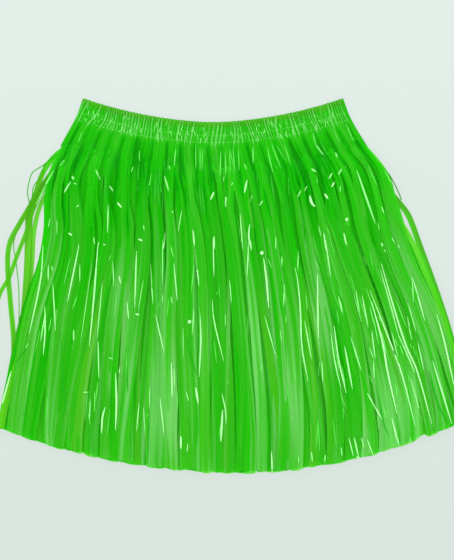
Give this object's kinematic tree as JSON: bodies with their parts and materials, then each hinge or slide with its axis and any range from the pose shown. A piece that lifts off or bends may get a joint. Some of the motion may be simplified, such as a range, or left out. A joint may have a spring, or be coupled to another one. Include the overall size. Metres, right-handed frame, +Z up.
{
  "type": "grass skirt",
  "caption": "Elasticated skirt of slit green plastic film laid flat, with a gathered waistband, a whole gathered yoke and layers of long loose strips.",
  "frame": {"origin": "on the table under the middle of the laid skirt's box", "axes": "+Z up from the table, through the back of the skirt to its front; +Y up the skirt's length to the waist; +X across the skirt, to the viewer's right"},
  "size_m": [0.588, 0.4304, 0.0162],
  "materials": {
    "green_film": "glossy, slightly see-through polyethylene film"
  },
  "bodies": {
    "root": {"waistband": "green_film", "yoke": "green_film", "fringe_front_outer": "green_film", "fringe_front_inner": "green_film", "fringe_back_inner": "green_film", "fringe_back_outer": "green_film"}
  },
  "joints": []
}
